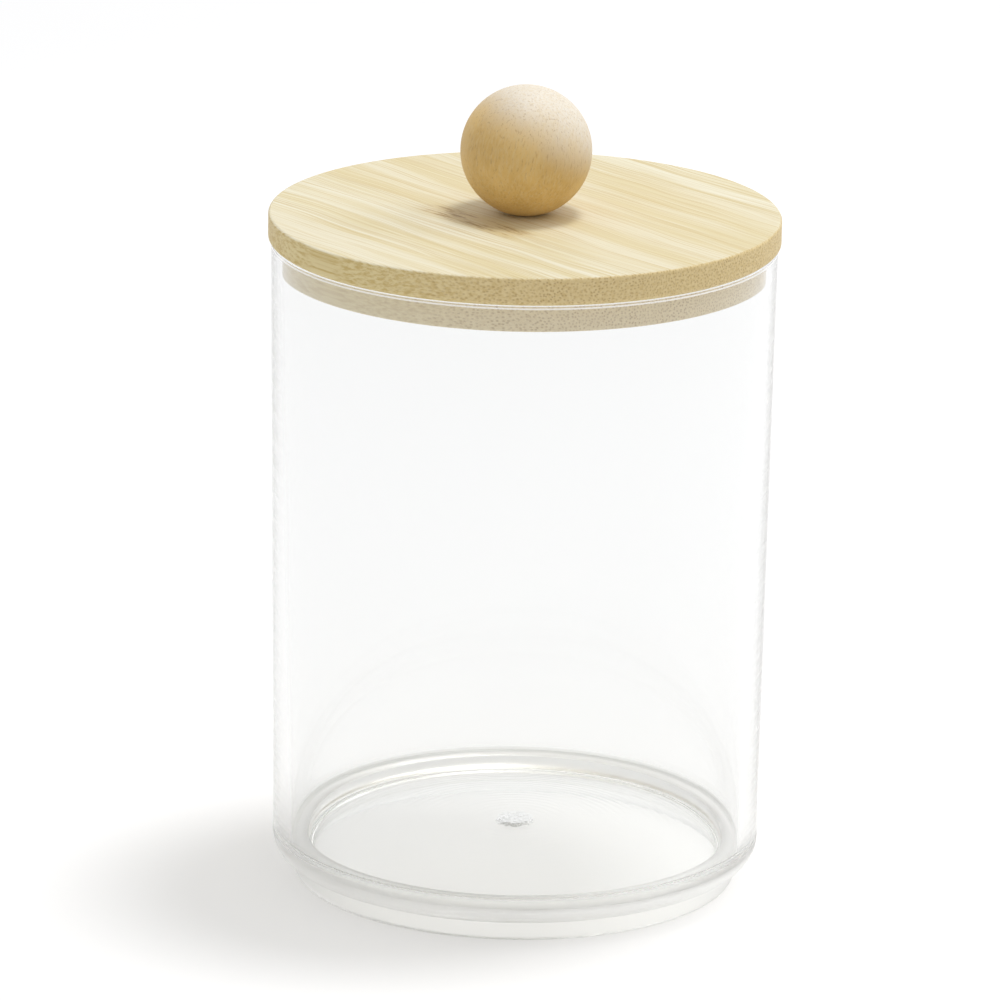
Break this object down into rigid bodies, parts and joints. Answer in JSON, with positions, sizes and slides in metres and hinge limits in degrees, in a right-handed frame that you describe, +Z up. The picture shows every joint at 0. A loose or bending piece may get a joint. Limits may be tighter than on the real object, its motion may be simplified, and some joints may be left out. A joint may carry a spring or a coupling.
{
  "type": "cotton swab holder",
  "caption": "Clear round plastic jar on a stepped foot for cotton swabs, with a plug-in bamboo lid and a wooden ball knob.",
  "frame": {"origin": "centre of the foot ring's underside, on the table", "axes": "+Z up along the jar's axis; the part is round, so X and Y are equal"},
  "size_m": [0.078, 0.078, 0.1248],
  "materials": {
    "jar_plastic": "water-clear moulded plastic, polished",
    "lid_bamboo": "pale laminated bamboo, sanded smooth, satin",
    "knob_wood": "turned and sanded wood with short dark flecks, satin",
    "screw_steel": "bright zinc-plated steel"
  },
  "bodies": {
    "jar_body": {"jar": "jar_plastic"},
    "lid_body": {"lid": "lid_bamboo", "knob": "knob_wood", "knob_screw": "screw_steel"}
  },
  "joints": [
    {"name": "lid_lift", "type": "slide", "parent": "jar_body", "child": "lid_body", "axis": [0, 0, 1], "range_m": [0, 0.1]}
  ]
}
